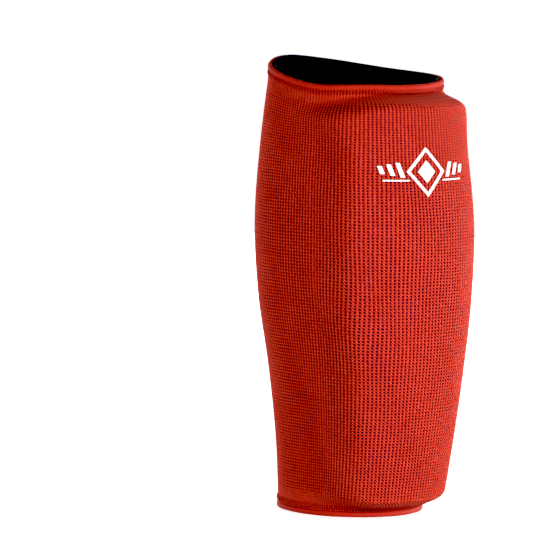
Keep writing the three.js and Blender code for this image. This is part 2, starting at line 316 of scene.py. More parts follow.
def body_mesh(name, points, faces, material, uv=None, normals=None):
    """A smooth mesh on the root body, from points in millimetres."""
    mesh = bpy.data.meshes.new(name)
    mesh.from_pydata((np.asarray(points).reshape(-1, 3) * MM).tolist(), [], faces)
    mesh.polygons.foreach_set("use_smooth", [True] * len(mesh.polygons))
    if uv is not None:
        layer = mesh.uv_layers.new(name="Knit")
        corner = np.zeros(len(mesh.loops), dtype=np.int32)
        mesh.loops.foreach_get("vertex_index", corner)
        layer.data.foreach_set("uv", uv[corner].astype(np.float32).ravel())
    if normals is not None:
        mesh.normals_split_custom_set_from_vertices(normals.tolist())
    mesh.materials.append(material)
    piece = bpy.data.objects.new(name, mesh)
    bpy.context.scene.collection.objects.link(piece)
    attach(piece, "root")
    return piece


def grid_faces(rows, columns, closed_rows=False, closed_columns=False, start=0, flipped=False):
    """Quads over a grid of points stored row by row."""
    r = np.arange(rows if closed_rows else rows - 1)[:, None]
    c = np.arange(columns if closed_columns else columns - 1)[None, :]
    up, right = (r + 1) % rows, (c + 1) % columns
    quads = np.stack(np.broadcast_arrays(
        r * columns + c, r * columns + right, up * columns + right, up * columns + c), axis=-1)
    quads = quads.reshape(-1, 4) + start
    return (quads[:, ::-1] if flipped else quads).tolist()


def shell(front, back, closed_columns=False):
    """Points and faces of a closed body between two grids of the same size."""
    rows, columns = front.shape[:2]
    count = rows * columns
    points = np.concatenate([front.reshape(-1, 3), back.reshape(-1, 3)])
    faces = grid_faces(rows, columns, closed_columns=closed_columns)
    faces += grid_faces(rows, columns, closed_columns=closed_columns, start=count, flipped=True)
    spans = columns if closed_columns else columns - 1
    for row, order in ((0, 1), (rows - 1, -1)):
        for c in range(spans):
            a, b = row * columns + c, row * columns + (c + 1) % columns
            faces.append([a, a + count, b + count, b][::order])
    if not closed_columns:
        for column, order in ((0, -1), (columns - 1, 1)):
            for r in range(rows - 1):
                a, b = r * columns + column, (r + 1) * columns + column
                faces.append([a, a + count, b + count, b][::order])
    return points, faces


def threads(paths, radius, sides=6):
    """Points and faces of capped threads, one along each path of points."""
    points, faces = [], []
    turns = np.arange(sides) * TURN / sides
    for path in paths:
        start = len(points) * sides
        along = np.gradient(path, axis=0)
        along /= np.linalg.norm(along, axis=1, keepdims=True)
        across = np.cross(along, (0.31, 0.22, 0.92))
        across /= np.linalg.norm(across, axis=1, keepdims=True)
        upright = np.cross(along, across)
        taper = np.ones(len(path))
        taper[[0, -1]] = 0.45
        for k in range(len(path)):
            ring = np.outer(np.cos(turns), across[k]) + np.outer(np.sin(turns), upright[k])
            points.append(path[k] + radius * taper[k] * ring)
        faces += grid_faces(len(path), sides, closed_columns=True, start=start)
        last = start + (len(path) - 1) * sides
        faces.append([start + i for i in reversed(range(sides))])
        faces.append([last + i for i in range(sides)])
    return np.concatenate(points), faces


# ---------- materials ----------
# Where the values of Blender's noise mostly lie.
NOISE_RANGE = (0.3, 0.7)


class Finish:
    """A material being built: a Principled shader and the nodes that feed it."""

    def __init__(self, name, **sockets):
        self.material = bpy.data.materials.new(name)
        self.material.use_nodes = True
        self.tree = self.material.node_tree
        self.shader = self.tree.nodes["Principled BSDF"]
        for socket, value in sockets.items():
            self.shader.inputs[socket.replace("_", " ")].default_value = value

    def node(self, kind, inputs=(), **settings):
        made = self.tree.nodes.new(kind)
        for key, value in settings.items():
            setattr(made, key, value)
        for key, value in dict(inputs).items():
            if isinstance(value, bpy.types.NodeSocket):
                self.tree.links.new(value, made.inputs[key])
            else:
                made.inputs[key].default_value = value
        return made

    def position(self):
        return self.node("ShaderNodeTexCoord").outputs["Object"]

    def lattice(self):
        """Where a point is in the knit, counted in wales and courses."""
        return self.node("ShaderNodeUVMap", uv_map="Knit").outputs["UV"]

    def math(self, operation, first, second=0.0):
        return self.node("ShaderNodeMath", {0: first, 1: second}, operation=operation).outputs[0]

    def noise(self, scale, detail):
        inputs = {"Scale": scale, "Detail": detail, "Vector": self.position()}
        return self.node("ShaderNodeTexNoise", inputs).outputs["Fac"]

    def blend(self, share, first, second):
        # Sockets 0, 6 and 7 of a colour mix are its factor and its two colours, and output 2 is a colour.
        return self.node("ShaderNodeMix", {0: share, 6: first, 7: second}, data_type="RGBA").outputs[2]

    def bands(self, scale, distortion):
        inputs = {"Vector": self.position(), "Scale": scale, "Distortion": distortion}
        return self.node("ShaderNodeTexWave", inputs, bands_direction="DIAGONAL").outputs["Fac"]

    def ramp(self, value, start, end, low=0.0, high=1.0):
        inputs = {"Value": value, "From Min": start, "From Max": end, "To Min": low, "To Max": high}
        return self.node("ShaderNodeMapRange", inputs).outputs["Result"]

    def colour(self, socket):
        self.tree.links.new(socket, self.shader.inputs["Base Color"])

    def roughness(self, socket):
        self.tree.links.new(socket, self.shader.inputs["Roughness"])

    def bump(self, height, strength, distance):
        inputs = {"Height": height, "Strength": strength, "Distance": distance * MM}
        made = self.node("ShaderNodeBump", inputs)
        self.tree.links.new(made.outputs["Normal"], self.shader.inputs["Normal"])


RED = (0.46, 0.012, 0.004, 1)
# Painted highlight on the crests of the knit's stitches, blended with random tone.
RED_HIGHLIGHT_AND_TONE = (0.82, 0.09, 0.047, 1)
# Painted shade for the knit's recesses, where the yarn dives below the ribs.
RED_RECESS_SHADE = (0.2, 0.0025, 0.001, 1)
HEM_RED = (0.31, 0.011, 0.0045, 1)
# Painted highlight on the crests of the hem's ribs, blended with random tone.
HEM_HIGHLIGHT_AND_TONE = (0.48, 0.03, 0.015, 1)


def knit_finish():
    """Two-ply yarn: each stitch slants across its rib. Its colour has a painted highlight along each
    slanted stitch over random tone, and painted shade where the yarn dives into a gap.
    """
    made = Finish("red_knit", Roughness=0.72, Sheen_Weight=0.04, Sheen_Roughness=0.45,
                  Sheen_Tint=(1.0, 0.55, 0.5, 1), Specular_IOR_Level=0.33)
    lattice = made.lattice()
    split = made.node("ShaderNodeSeparateXYZ", {0: lattice})
    wale, course = split.outputs["X"], split.outputs["Y"]
    from_rib = made.math("SUBTRACT", wale, made.math("ROUND", wale))
    strand = made.math("ADD", course, made.math("MULTIPLY", from_rib, 1.3))
    ridge = made.math("SINE", made.math("MULTIPLY", strand, TURN))
    fibre = made.noise(2600.0, 3.0)
    patch = made.noise(55.0, 3.0)
    moved = made.node("ShaderNodeVectorMath", {0: lattice, 1: (0.5, 0, 0)}, operation="ADD").outputs[0]
    number = made.node("ShaderNodeVectorMath", {0: moved}, operation="FLOOR").outputs[0]
    stitch = made.node("ShaderNodeTexWhiteNoise", {"Vector": number},
                       noise_dimensions="2D").outputs["Value"]
    # A point attribute that paints shade into the recesses of the knit: 0 on the ribs, up to 1 at the gaps.
    recess_shade = made.node("ShaderNodeAttribute", attribute_name="recess_shade").outputs["Fac"]
    # Painted highlight along the ridge of each slanted stitch, with random tone from fibres, patches and
    # stitches.
    highlight_and_tone = made.math("ADD", made.ramp(ridge, -1, 1, 0.0, 0.47), made.ramp(fibre, *NOISE_RANGE, 0.0, 0.14))
    highlight_and_tone = made.math("ADD", highlight_and_tone, made.ramp(patch, *NOISE_RANGE, 0.0, 0.14))
    highlight_and_tone = made.math("ADD", highlight_and_tone, made.ramp(stitch, 0, 1, 0.0, 0.14))
    lit = made.blend(highlight_and_tone, RED, RED_HIGHLIGHT_AND_TONE)
    made.colour(made.blend(recess_shade, lit, RED_RECESS_SHADE))
    made.roughness(made.ramp(fibre, *NOISE_RANGE, 0.62, 0.84))
    height = made.math("ADD", made.ramp(ridge, -1, 1), made.math("MULTIPLY", fibre, 0.5))
    made.bump(height, 0.9, 0.35)
    return made.material


def hem_finish():
    """The same yarn rolled over the elastic: two fine ribs for each wale, with plies across them. Each fine
    rib has a painted highlight over random tone.
    """
    made = Finish("red_hem", Roughness=0.7, Sheen_Weight=0.05, Sheen_Roughness=0.4,
                  Sheen_Tint=(1.0, 0.42, 0.36, 1), Specular_IOR_Level=0.25)
    lattice = made.lattice()
    split = made.node("ShaderNodeSeparateXYZ", {0: lattice})
    ribs = made.math("SINE", made.math("MULTIPLY", split.outputs["X"], TURN * 2))
    strand = made.math("ADD", split.outputs["Y"], made.math("MULTIPLY", split.outputs["X"], 1.5))
    plies = made.math("SINE", made.math("MULTIPLY", strand, TURN))
    fibre = made.noise(2400.0, 3.0)
    patch = made.noise(70.0, 3.0)
    # Painted highlight on each fine rib, with random tone from fibres and patches.
    highlight_and_tone = made.math("ADD", made.ramp(ribs, -1, 1, 0.0, 0.3), made.ramp(fibre, *NOISE_RANGE, 0.0, 0.2))
    highlight_and_tone = made.math("ADD", highlight_and_tone, made.ramp(patch, *NOISE_RANGE, 0.0, 0.2))
    made.colour(made.blend(highlight_and_tone, HEM_RED, HEM_HIGHLIGHT_AND_TONE))
    made.roughness(made.ramp(fibre, *NOISE_RANGE, 0.56, 0.78))
    height = made.math("ADD", made.math("MULTIPLY", plies, 0.4), made.math("MULTIPLY", ribs, 0.5))
    made.bump(made.math("ADD", height, fibre), 0.4, 0.12)
    return made.material


def thread_finish(name, dark, light):
    """Sewing thread, banded by its twist."""
    made = Finish(name, Roughness=0.5, Sheen_Weight=0.1, Sheen_Roughness=0.4, Specular_IOR_Level=0.35)
    twist = made.bands(900.0, 1.5)
    made.colour(made.blend(twist, dark, light))
    made.bump(twist, 0.5, 0.08)
    return made.material


def lining_finish():
    """Fine black knit that hardly shines."""
    made = Finish("black_knit", Roughness=0.9, Specular_IOR_Level=0.05)
    fibre = made.noise(2200.0, 3.0)
    patch = made.noise(60.0, 2.0)
    share = made.math("ADD", made.ramp(fibre, *NOISE_RANGE, 0.0, 0.6),
                      made.ramp(patch, *NOISE_RANGE, 0.0, 0.4))
    made.colour(made.blend(share, (0.005, 0.005, 0.009, 1), (0.012, 0.012, 0.02, 1)))
    made.bump(fibre, 0.4, 0.1)
    return made.material


def foam_finish():
    """Navy-black foam with fine open cells."""
    made = Finish("dark_foam", Roughness=0.95, Specular_IOR_Level=0.1)
    inputs = {"Vector": made.position(), "Scale": 1500.0}
    cells = made.node("ShaderNodeTexVoronoi", inputs).outputs["Distance"]
    patch = made.noise(80.0, 2.0)
    share = made.ramp(patch, *NOISE_RANGE)
    made.colour(made.blend(share, (0.004, 0.004, 0.042, 1), (0.008, 0.009, 0.08, 1)))
    made.bump(cells, 0.6, 0.25)
    return made.material


def print_finish():
    """Screen-printed ink that sits on the yarn, thin where it spans the gaps of the knit."""
    made = Finish("white_print", Roughness=0.6, Specular_IOR_Level=0.35)
    lattice = made.lattice()
    split = made.node("ShaderNodeSeparateXYZ", {0: lattice})
    across = made.math("PINGPONG", split.outputs["X"], 0.5)
    upright = made.math("PINGPONG", split.outputs["Y"], 0.5)
    over_gap = made.math("MULTIPLY", made.ramp(across, 0.26, 0.48), made.ramp(upright, 0.24, 0.48))
    grain = made.noise(1300.0, 4.0)
    thin = made.math("MULTIPLY", over_gap, made.ramp(grain, 0.42, 0.62, 0.0, 0.85))
    made.colour(made.blend(thin, (0.88, 0.87, 0.86, 1), (0.42, 0.13, 0.11, 1)))
    height = made.math("SUBTRACT", made.math("MULTIPLY", grain, 0.5), over_gap)
    made.bump(height, 0.5, 0.18)
    return made.material


def elastic_finish():
    """Covered elastic, hidden inside the hems."""
    made = Finish("white_elastic", Roughness=0.6, Specular_IOR_Level=0.3)
    weave = made.bands(700.0, 0.8)
    made.colour(made.blend(weave, (0.55, 0.54, 0.5, 1), (0.75, 0.74, 0.7, 1)))
    made.bump(weave, 0.5, 0.1)
    return made.material


# ---------- the openwork knit ----------

def wale_angle(wale):
    """The angle at which a wale runs. Averaging over neighbours smooths the change of spacing."""
    total = 0
    shifts = np.linspace(-WALE_BLEND, WALE_BLEND, 2 * WALE_BLEND + 1)
    for shift in shifts:
        turns = np.round((wale + shift) / WALES)
        rest = wale + shift - turns * WALES
        total = total + turns * 360 + np.sign(rest) * np.interp(np.abs(rest), *WALE_PLACES.T)
    return np.radians(total / len(shifts))


def course_height(course):
    """The height of a course. Courses bunch up a little towards both hems."""
    share = 2 * course / COURSES - 1
    uneven = (1 + COURSE_BUNCHING) * share - COURSE_BUNCHING * share ** 3
    return (KNIT_LOW + KNIT_HIGH) / 2 + (KNIT_HIGH - KNIT_LOW) / 2 * uneven


def wander(wale, course, waves):
    """A slow drift of the lattice that meets itself behind: waves are (round, along, phase, size)."""
    drift = 0
    for around, along, phase, size in waves:
        drift = drift + size * np.sin(TURN * (around * wale / WALES + along * course / COURSES) + phase)
    return drift


def random_waves(count, size):
    """Waves of up to that size, with whole numbers of them round the sleeve."""
    waves = []
    for _ in range(count):
        around = int(rng.integers(2, 12))
        along = float(rng.uniform(0.6, 6.0))
        waves.append((around, along, float(rng.uniform(0, TURN)), size * float(rng.uniform(0.5, 1.0))))
    return waves


WALE_WAVES = random_waves(5, 0.08)
COURSE_WAVES = random_waves(5, 0.045)
EASE_WAVES = random_waves(8, 0.05)


def knit_point(wale, course, outward):
    """A point of the knit, whose last courses swell a little where the hems hold them."""
    drift_ease = np.sin(math.pi * np.clip(course / COURSES, 0, 1)) ** 0.5
    wale_moved = wale + wander(wale, course, WALE_WAVES) * drift_ease
    course_moved = course + wander(wale, course, COURSE_WAVES) * drift_ease
    from_hem = np.minimum(course_moved, COURSES - course_moved)
    swell = HEM_SWELL * np.exp(-(from_hem / HEM_SWELL_COURSES) ** 2)
    return cover_point(wale_angle(wale_moved), course_height(course_moved), outward + swell)


def seam_wale(course, side):
    """The wale that a pocket seam follows."""
    table = np.linspace(0, WALES / 2, 200)
    return side * np.interp(seam_angle(course_height(course)), wale_angle(table), table)


def gap_half_width(wale, course, pitch):
    """Half the width of the gap between two ribs, in millimetres: the more the cloth is stretched
    sideways, the wider it opens. It is pulled shut by the hems and beside the pocket seams."""
    half = GAP_SHARE * pitch * (1 + wander(wale, course, EASE_WAVES))
    z = course_height(course)
    near_top = 1 - smoothstep(HEIGHT - z, *TIGHT_TOP_REACH)
    near_low = 1 - smoothstep(z, *TIGHT_BOTTOM_REACH)
    on_front = 1 - smoothstep(np.abs(wale), *TIGHT_FRONT_REACH)
    half = half - TIGHT_TOP_FRONT * near_top * on_front - TIGHT_TOP * near_top - TIGHT_BOTTOM * near_low
    for side in (-1, 1):
        along_seam = (z > SEAM_LOW) & (z < SEAM_HIGH)
        beside = np.abs(wale - seam_wale(course, side))
        half = half - TIGHT_SEAM * along_seam * np.exp(-(beside / TIGHT_SEAM_REACH) ** 2)
    return half


def knit_cells():
    """The middle of each cell of the knit, its pitch and its gap."""
    w, c = np.meshgrid(np.arange(-WALES // 2, WALES // 2) + 0.5, np.arange(COURSES) + 0.5)
    pitch = np.linalg.norm(knit_point(w + 0.5, c, 0) - knit_point(w - 0.5, c, 0), axis=-1)
    rise = np.linalg.norm(knit_point(w, c + 0.5, 0) - knit_point(w, c - 0.5, 0), axis=-1)
    half = gap_half_width(w, c, pitch) + rng.normal(0, GAP_SCATTER, w.shape)
    beside_hem = (c < 1) | (c > COURSES - 2)
    half = np.where(beside_hem, HEM_GAP_SHARE * pitch, half)
    is_open = half > NARROWEST_GAP
    half_width = np.where(is_open, np.clip(half / pitch, *GAP_WIDTHS), DIMPLE_WIDTH)
    half_height = np.where(is_open, np.clip(0.5 - BAR_HALF_WIDTH / rise, *GAP_HEIGHTS), DIMPLE_HEIGHT)
    half_height = half_height * (1 + rng.normal(0, GAP_HEIGHT_SCATTER, w.shape))
    lean = np.where(c % 2 < 1, *GAP_LEANS) + rng.normal(0, LEAN_SCATTER, w.shape)
    return w, c, pitch, is_open, half_width, half_height, lean


def scatter(shape):
    """Small random shifts, the same at the first and the last wale, which meet behind."""
    made = rng.normal(0, YARN_SCATTER, shape)
    made[:, -1] = made[:, 0]
    return made


def knit_groups(cells):
    """The corners, ribs, bars and gap rims of the knit: points, places in the lattice and painted shade."""
    w, c, pitch, is_open, half_width, half_height, lean = cells
    wales = np.arange(-WALES // 2, WALES // 2 + 1)
    courses = np.arange(COURSES + 1)

    gw, gc = np.meshgrid(wales, courses)
    corners = knit_point(gw, gc, scatter(gw.shape))
    rw, rc = np.meshgrid(wales, courses[:-1] + 0.5)
    ribs = knit_point(rw + scatter(rw.shape), rc, scatter(rw.shape) + RIB_PROUD)
    bw, bc = np.meshgrid(wales[:-1] + 0.5, courses)
    stretch = np.clip((pitch - STRETCH_START) / STRETCH_SPAN, 0, 1)
    bar_stretch = np.concatenate([stretch, stretch[-1:]])
    bar_course = bc + rng.normal(0, BAR_SCATTER, bw.shape)
    bars = knit_point(bw, bar_course, -BAR_SUNK + BAR_TAUT * bar_stretch)

    rims = []
    shift = rng.normal(0, GAP_SHIFT, (2,) + w.shape)
    for x, y in GAP_OUTLINE:
        sunk = np.where(is_open, -RIM_SUNK - RIM_END_SUNK * abs(y), -RIM_SUNK)
        rim_w = w + shift[0] + x * half_width + y * half_height * lean
        rim_c = c + shift[1] + y * half_height
        rims.append(knit_point(rim_w, rim_c, sunk))
    rim_places = (w[..., None] + GAP_OUTLINE[:, 0] * half_width[..., None],
                  c[..., None] + GAP_OUTLINE[:, 1] * half_height[..., None])
    rim_shade = np.where(is_open, GAP_SHADE, DIMPLE_SHADE)[..., None]
    return [
        (corners, (gw, gc), 0.0),
        (ribs, (rw, rc), 0.0),
        (bars, (bw, bc), BAR_SHADE),
        (np.stack(rims, axis=2), rim_places, rim_shade),
    ]


def knit_faces():
    """Eight quads round each gap, the rim of each gap, and the points of the first wale, which the last
    wale meets behind. Points are numbered in the order of knit_groups."""
    columns = WALES + 1
    first_rib = (COURSES + 1) * columns
    first_bar = first_rib + COURSES * columns
    first_rim = first_bar + (COURSES + 1) * WALES
    r, k = np.meshgrid(np.arange(COURSES), np.arange(WALES), indexing="ij")
    border = np.stack([
        first_rib + r * columns + k,
        r * columns + k,
        first_bar + r * WALES + k,
        r * columns + k + 1,
        first_rib + r * columns + k + 1,
        (r + 1) * columns + k + 1,
        first_bar + (r + 1) * WALES + k,
        (r + 1) * columns + k,
    ], axis=-1)
    rim = first_rim + (r * WALES + k)[..., None] * 8 + np.arange(8)
    quads = np.stack([border, np.roll(border, -1, -1), np.roll(rim, -1, -1), rim], axis=-1)
    ends = np.concatenate([np.arange(COURSES + 1), first_rib // columns + np.arange(COURSES)]) * columns
    return quads, rim, ends


def make_knit():
    """One cell for each wale and course: a ring of eight quads round a gap, over ribs that stand proud
    of the bars between them. Where the yarn closes up, the gap is filled by a dimple."""
    cells = knit_cells()
    is_open = cells[3]
    groups = knit_groups(cells)
    points = np.concatenate([made.reshape(-1, 3) for made, _, _ in groups])
    uv = np.concatenate([np.stack(places, -1).reshape(-1, 2) for _, places, _ in groups])
    # Painted shade for each point: darker on the bars and round the gaps, where the yarn dives.
    recess_shade = np.concatenate([np.broadcast_to(shade, places[0].shape).ravel() for _, places, shade in groups])
    quads, rim, ends = knit_faces()
    normals = vertex_normals(points, quads.reshape(-1, 4), [rim[~is_open]])
    joined = normals[ends] + normals[ends + WALES]
    joined /= np.linalg.norm(joined, axis=1, keepdims=True)
    normals[ends] = joined
    normals[ends + WALES] = joined

    finish = knit_finish()
    left, right = WALES // 2 - FRONT_WALES, WALES // 2 + FRONT_WALES
    limits = {
        "knit_left_panel": (0, left),
        "knit_front_panel": (left, right),
        "knit_right_panel": (right, WALES),
    }
    for name, (start, end) in limits.items():
        chosen = quads[:, start:end].reshape(-1, 4)
        filled = rim[:, start:end][~is_open[:, start:end]]
        used, renumbered = np.unique(np.concatenate([chosen.ravel(), filled.ravel()]), return_inverse=True)
        faces = renumbered[:chosen.size].reshape(-1, 4).tolist()
        faces += renumbered[chosen.size:].reshape(-1, 8).tolist()
        panel = body_mesh(name, points[used], faces, finish, uv[used], normals[used])
        # The painted shade reaches the shader as a point attribute.
        layer = panel.data.attributes.new("recess_shade", "FLOAT", "POINT")
        layer.data.foreach_set("value", recess_shade[used].astype(np.float32))
        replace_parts(panel, "outer_sleeve")


def vertex_normals(points, quads, rings):
    """Area-weighted normals at the points of quads and of filled rings."""
    normals = np.zeros_like(points)
    for faces in [quads] + rings:
        diagonal = points[faces[:, faces.shape[1] // 2]] - points[faces[:, 0]]
        other = points[faces[:, -1]] - points[faces[:, 1]]
        face_normals = np.cross(diagonal, other)
        for corner in range(faces.shape[1]):
            np.add.at(normals, faces[:, corner], face_normals)
    return normals / np.maximum(np.linalg.norm(normals, axis=1, keepdims=True), 1e-12)


# ---------- lining and pad ----------
LINING_OUTWARD = -1.3
LINING_INWARD = -3.4
LINING_RIBS = 170
LINING_ROWS = 84
LINING_LOW = 0.6
LINING_HIGH = 250.3
LINING_RELIEF = 0.14
LINING_WEAR = 0.05
LINING_EDGE_ROWS = (1.5, 0.6)
LINING_THIN_FROM = 1.2
LINING_THINNER = 0.5

# The foam is narrower than the pad's outline. It rises a little inside the cover, its front lies below
# the cover's lift, and it keeps a thin edge. Rows are closer together near its ends.
FOAM_HALF_ANGLE = 51.0
FOAM_SLACK = 0.6
FOAM_BACK = -1.1
FOAM_BELOW = 1.15
FOAM_EDGE = 0.3
FOAM_RIPPLE = 0.12
FOAM_RIPPLE_ABOVE = 3
FOAM_END_ROWS = np.array([0.3, 0.8, 1.8, 3.5, 6.0])
FOAM_EVEN_FROM = 9.0
FOAM_ROWS = 80
FOAM_COLUMNS = 61


def make_lining():
    """A fine rib tube: plain outside, ribbed on the side that meets the arm."""
    angles = np.arange(2 * LINING_RIBS) * TURN / (2 * LINING_RIBS)
    below_edge, at_edge = LINING_HIGH - np.array(LINING_EDGE_ROWS)
    heights = np.concatenate([np.linspace(LINING_LOW, below_edge, LINING_ROWS), [at_edge, LINING_HIGH]])
    u, z = np.meshgrid(angles, heights)
    relief = LINING_RELIEF * np.where(np.arange(2 * LINING_RIBS) % 2 == 0, 1, -1)[None, :]
    wear = LINING_WEAR * np.sin(z * 1.9 + 4 * np.sin(3 * u))
    thin = smoothstep(z, LINING_HIGH - LINING_THIN_FROM, LINING_HIGH) * LINING_THINNER
    outer = arm_point(u, z, LINING_OUTWARD - thin)
    inner = arm_point(u, z, LINING_INWARD + relief + wear + thin)
    points, faces = shell(outer, inner, closed_columns=True)
    lining = body_mesh("lining_sleeve", points, faces, lining_finish())
    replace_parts(lining, "inner_lining")


def foam_half_width(side, z):
    """Half width of the foam at a height on one side, drawn in where the corner is round."""
    corner = corner_radius(side, z)
    into_corner = np.maximum(past_end(z) + corner, 0)
    drawn_in = corner - np.sqrt(corner ** 2 - into_corner ** 2)
    return np.minimum(pad_half_width(z, FOAM_HALF_ANGLE), pad_half_width(z) - SIDE_EASE * drawn_in)


def make_pad():
    """The crowned foam pad, thinning to its rounded outline."""
    heights = np.concatenate([
        PAD_LOW + FOAM_END_ROWS,
        np.linspace(PAD_LOW + FOAM_EVEN_FROM, PAD_HIGH - FOAM_EVEN_FROM, FOAM_ROWS),
        PAD_HIGH - FOAM_END_ROWS[::-1],
    ])
    across = np.sin(np.linspace(-1, 1, FOAM_COLUMNS) * math.pi / 2)
    z, share = np.meshgrid(heights, across, indexing="ij")
    u = share * foam_half_width(share, z) / arc_radius(z)
    rise = pad_rise(u, z, FOAM_SLACK)
    ripple = FOAM_RIPPLE * np.sin(z * 0.31 + 3 * share) * np.sin(share * 7 + z * 0.05)
    lift = rise - FOAM_BELOW + ripple * (rise > FOAM_RIPPLE_ABOVE)
    front = arm_point(u, z, np.maximum(lift, FOAM_BACK + FOAM_EDGE))
    back = arm_point(u, z, FOAM_BACK + 0 * z)
    points, faces = shell(front, back)
    pad = body_mesh("foam_pad", points, faces, foam_finish())
    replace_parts(pad, "impact_pad")


# ---------- hems ----------
HEM_COLUMNS_PER_WALE = 4
HEM_SIDES = 16
TOP_HEM_RELIEF = 0.16
BOTTOM_HEM_RELIEF = 0.09
ELASTIC_RADIUS = 0.45
ELASTIC_SIDES = 8


def make_ring(name, outline, z, finish, node, relief=0.0):
    """A closed ring along a rim. The outline gives [outward, upward] about the middle of the hem, and
    relief lifts one rib for each wale."""
    wales = np.arange(WALES * HEM_COLUMNS_PER_WALE) / HEM_COLUMNS_PER_WALE - WALES / 2
    angles = wale_angle(wales)
    ribs = relief * np.cos(TURN * wales)
    swell = 1 + 0.035 * np.sin(TURN * wales * 5 / WALES + 1) + 0.025 * np.sin(TURN * wales * 11 / WALES)
    sections = []
    for outward, upward in outline:
        size = np.hypot(outward, upward)
        scale = swell * (1 + ribs / size)
        point = arm_point(angles, z + 0 * angles, HEM_MIDDLE + outward * scale)
        point[:, 2] = np.maximum(point[:, 2] + upward * scale, 0)
        sections.append(point)
    points = np.stack(sections)
    sides = len(outline)
    steps = np.arange(sides)[:, None] + 0 * wales[None, :]
    uv = np.stack([wales[None, :] + 0 * steps, steps / 2.0], -1).reshape(-1, 2)
    faces = grid_faces(sides, len(wales), closed_rows=True, closed_columns=True, flipped=True)
    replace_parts(body_mesh(name, points, faces, finish, uv), node)


def hem_outline(footed):
    """The oval of a rolled hem, flat underneath where it stands on the floor."""
    turns = np.arange(HEM_SIDES) * TURN / HEM_SIDES
    upward = HEM_HEIGHT / 2 * np.sin(turns)
    if footed:
        upward = np.maximum(upward, HEM_FOOT - HEM_HEIGHT / 2)
    return np.stack([HEM_DEPTH / 2 * np.cos(turns), upward], axis=1)


def make_hems():
    """A roll of knit round each rim, with an elastic cord inside it."""
    roll = hem_finish()
    make_ring("top_hem_roll", hem_outline(False), TOP_HEM_HEIGHT, roll, "top_hem",
              TOP_HEM_RELIEF)
    make_ring("bottom_hem_roll", hem_outline(True), BOTTOM_HEM_HEIGHT, roll, "bottom_hem",
              BOTTOM_HEM_RELIEF)
    turns = np.arange(ELASTIC_SIDES) * TURN / ELASTIC_SIDES
    cord = ELASTIC_RADIUS * np.stack([np.cos(turns), np.sin(turns)], axis=1)
    elastic = elastic_finish()
    make_ring("top_elastic_cord", cord, TOP_HEM_HEIGHT, elastic, "top_elastic")
    make_ring("bottom_elastic_cord", cord, BOTTOM_HEM_HEIGHT, elastic, "bottom_elastic")


# ---------- stitching ----------
HEM_THREAD = 0.24
SEAM_THREAD = 0.2
STITCH_REACH = 0.9
STITCH_COURSE = 1.2
TAIL_LENGTH = 9.0
TAIL_THREAD = 0.24
TAIL_SWING = 0.22
TAIL_TWISTS = 3.5
TOP_TAIL = (184, HEIGHT - 4.5)
BOTTOM_TAIL = (152, 4.5)


def hem_stitches(name, course, finish, node):
    """Short stitches, one on each rib, that tie the sleeve to the roll."""
    paths = []
    for wale in range(-WALES // 2, WALES // 2):
        slant = rng.normal(0.18, 0.05)
        share = np.linspace(-1, 1, 5)
        outward = 0.12 + 0.2 * (1 - share ** 2)
        paths.append(knit_point(wale + slant * share, course + STITCH_REACH * share, outward))
    points, faces = threads(paths, HEM_THREAD)
    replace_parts(body_mesh(name, points, faces, finish), node)


def seam_stitches(name, side, finish, node):
    """Lock stitches down a pocket seam: each spans a course and dives at both ends."""
    paths = []
    first = np.argmax(course_height(np.arange(COURSES)) > SEAM_LOW)
    last = np.argmax(course_height(np.arange(COURSES)) > SEAM_HIGH)
    for course in range(first, last):
        wale = seam_wale(course + 0.5, side) + rng.normal(0, 0.12)
        slant = side * 0.2 + rng.normal(0, 0.09)
        share = np.linspace(-1, 1, 6)
        outward = -0.42 + 0.36 * (1 - share ** 2) ** 0.6
        paths.append(knit_point(wale + slant * share, course + 0.5 + 0.52 * share, outward))
    points, faces = threads(paths, SEAM_THREAD)
    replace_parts(body_mesh(name, points, faces, finish), node)


def tail(name, start, downward, finish, node):
    """A short end of two-ply thread that runs from a hem along the sleeve, with a small knot."""
    degrees, z = start
    share = np.linspace(0, 1, 15)
    turns = np.radians(degrees + 4 * np.sin(share * 2.2))
    lift = 1.9 + 1.1 * np.sin(share * 3)
    middle = cover_point(turns, z + downward * share * TAIL_LENGTH, lift)
    plies = []
    for phase in (0, math.pi):
        swing = TAIL_SWING * (1 + 1.2 * share ** 3)
        around = share * TURN * TAIL_TWISTS + phase
        offset = np.stack([np.cos(around), np.sin(around), 0 * share], axis=1) * swing[:, None]
        plies.append(middle + offset)
    loop = np.linspace(0, TURN, 11)
    knot = np.stack([0.75 * np.cos(loop), 0.35 * np.sin(2 * loop), 0.6 * np.sin(loop)], axis=1)
    plies.append(middle[0] + knot)
    points, faces = threads(plies, TAIL_THREAD)
    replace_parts(body_mesh(name, points, faces, finish), node)


def make_stitching():
    """The stitches under the hems and down the pocket seams, and two loose ends."""
    red = thread_finish("red_thread", HEM_RED, RED)
    navy = thread_finish("navy_thread", (0.004, 0.004, 0.035, 1), (0.012, 0.014, 0.09, 1))
    hem_stitches("top_hem_stitches", COURSES - STITCH_COURSE, red, "top_hem_stitch")
    hem_stitches("bottom_hem_stitches", STITCH_COURSE, red, "bottom_hem_stitch")
    seam_stitches("left_seam_stitches", -1, red, "left_pocket_seam")
    seam_stitches("right_seam_stitches", 1, red, "right_pocket_seam")
    tail("top_tail", TOP_TAIL, -1, navy, "top_thread_tail")
    tail("bottom_tail", BOTTOM_TAIL, 1, navy, "bottom_thread_tail")


# ---------- emblem ----------
INK_LOW = -0.3
INK_HIGH = 0.17
INK_OVER_RIB = 0.07
BAR_STEP = 0.55
BAND_STEP = 0.6
# Outer and inner half widths of the diamond's band and of its heart, which is solid but for a dot.
DIAMOND_BAND = (14.5, 11.8)
DIAMOND_HEART = (6.6, 0.4)
DIAMOND_SIDES = 96
DIAMOND_TALLER = 1.05
